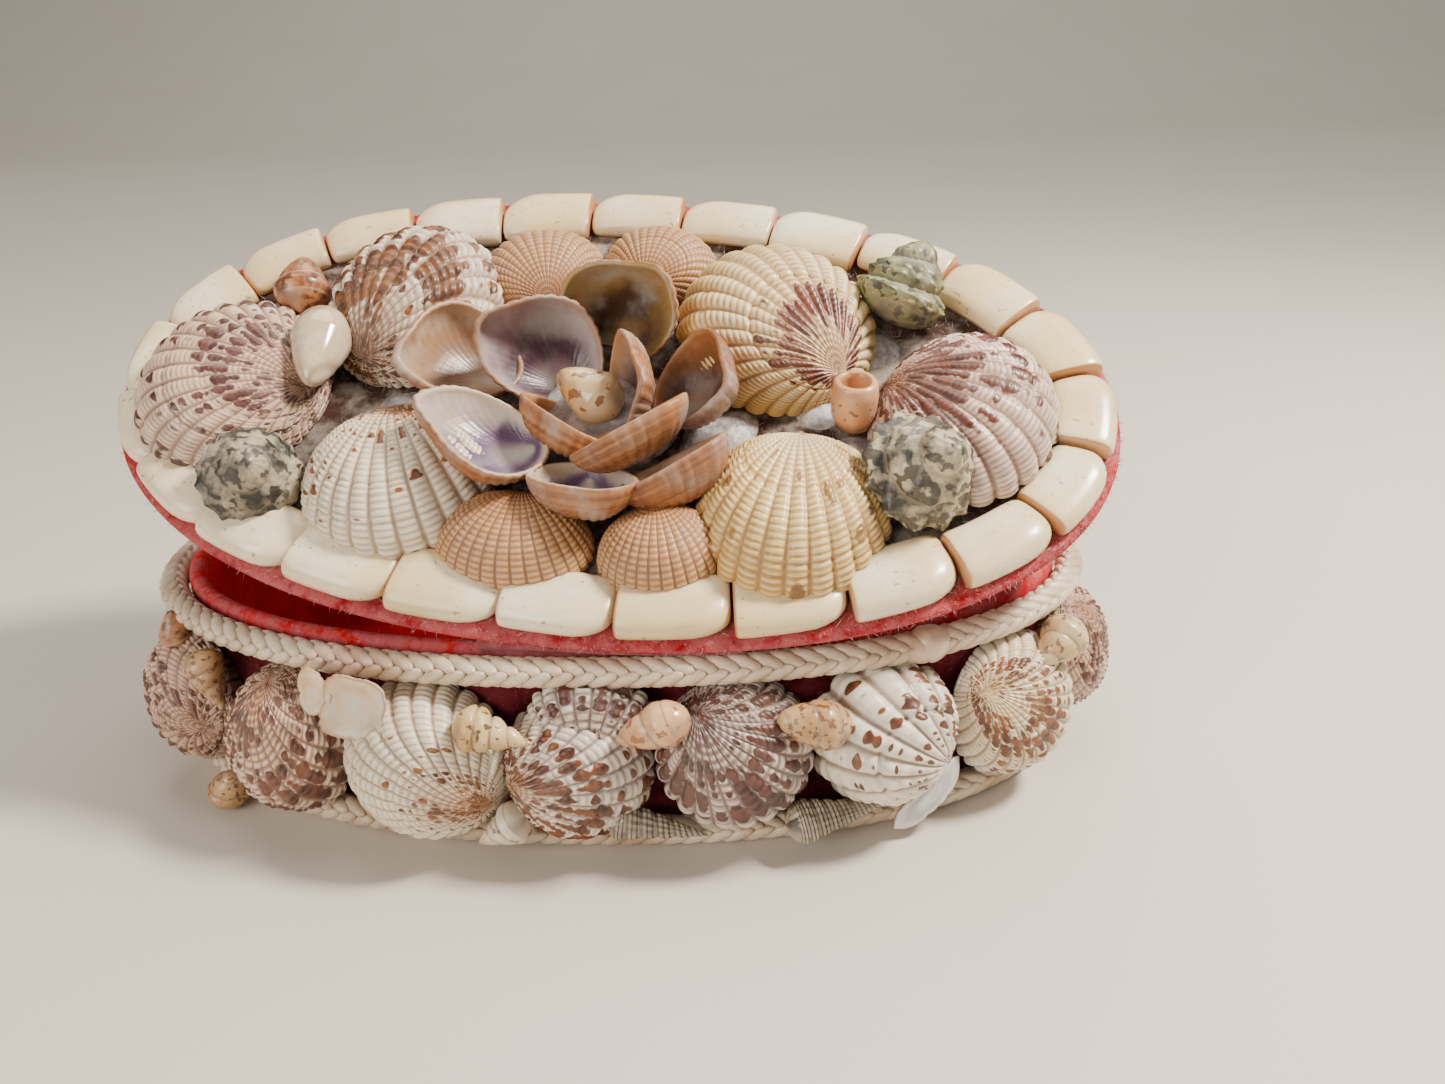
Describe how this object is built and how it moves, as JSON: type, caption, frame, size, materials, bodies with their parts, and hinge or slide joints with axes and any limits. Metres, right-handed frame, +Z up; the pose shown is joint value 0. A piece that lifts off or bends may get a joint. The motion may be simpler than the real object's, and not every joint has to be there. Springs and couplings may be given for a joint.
{
  "type": "shell box",
  "caption": "Oval keepsake box with a cloth-hinged lid, both covered in glued sea shells, with braided cord trim and a flower of shells on the lid.",
  "frame": {"origin": "under the middle of the box, on the surface that it stands on", "axes": "+X along the box, +Y from the hinge side to the opening side, +Z up"},
  "size_m": [0.1902, 0.1203, 0.0983],
  "materials": {
    "red_velvet": "short pile velvet, dusty pink along the edges",
    "hinge_cloth": "worn flat cloth tape",
    "braided_cord": "shiny braided nylon",
    "ivory_slab": "polished shell, cream",
    "cockle_shell": "ribbed shell, white with brown marks",
    "ark_shell": "fine ribbed shell, tan",
    "petal_shell": "smooth inside, white and purple",
    "snail_shell": "glossy shell, cream and peach",
    "turban_shell": "knobby shell, grey and black"
  },
  "bodies": {
    "box": {"base_box": "red_velvet", "hinge_cloth_base": "hinge_cloth", "top_cord": "braided_cord", "bottom_cord": "braided_cord", "front_cockle_1": "cockle_shell", "front_cockle_2": "cockle_shell", "front_cockle_3": "cockle_shell", "front_cockle_4": "cockle_shell", "front_cockle_5": "cockle_shell", "front_cockle_6": "cockle_shell", "front_cockle_7": "cockle_shell", "right_end_cockle": "cockle_shell", "back_cockle_1": "cockle_shell", "back_cockle_2": "cockle_shell", "back_cockle_3": "cockle_shell", "back_cockle_4": "cockle_shell", "back_cockle_5": "cockle_shell", "back_cockle_6": "cockle_shell", "back_cockle_7": "cockle_shell", "left_end_cockle": "cockle_shell", "wall_snail_1": "snail_shell", "wall_snail_2": "snail_shell", "wall_snail_3": "snail_shell", "wall_snail_4": "snail_shell", "wall_snail_5": "snail_shell", "horn_shell": "turban_shell"},
    "lid": {"lid_board": "red_velvet", "hinge_cloth_lid": "hinge_cloth", "edge_slabs_right": "ivory_slab", "edge_slabs_far": "ivory_slab", "edge_slabs_left": "ivory_slab", "edge_slabs_near": "ivory_slab", "lid_cockle_left": "cockle_shell", "lid_cockle_upper_left": "cockle_shell", "lid_cockle_lower_left": "cockle_shell", "lid_cockle_upper_right": "cockle_shell", "lid_cockle_lower_right": "cockle_shell", "lid_cockle_right": "cockle_shell", "lid_ark_far_left": "ark_shell", "lid_ark_far_right": "ark_shell", "lid_ark_near_left": "ark_shell", "lid_ark_near_right": "ark_shell", "petal_inner_left": "petal_shell", "petal_inner_top": "petal_shell", "petal_inner_right": "petal_shell", "petal_top": "petal_shell", "petal_upper_left": "petal_shell", "petal_left": "petal_shell", "petal_lower_left": "petal_shell", "petal_right": "petal_shell", "petal_lower_right": "petal_shell", "petal_bottom": "petal_shell", "flower_centre": "snail_shell", "snail_far_left": "snail_shell", "turban_near_left": "turban_shell", "turban_far_right": "turban_shell", "turban_near_right": "turban_shell", "spire_right": "snail_shell", "bean_shell": "snail_shell"}
  },
  "joints": [
    {"name": "lid_hinge", "type": "hinge", "parent": "box", "child": "lid", "pos_m": [0, -0.05, 0.0371], "axis": [1, 0, 0], "range_deg": [-33.6, 62]}
  ]
}
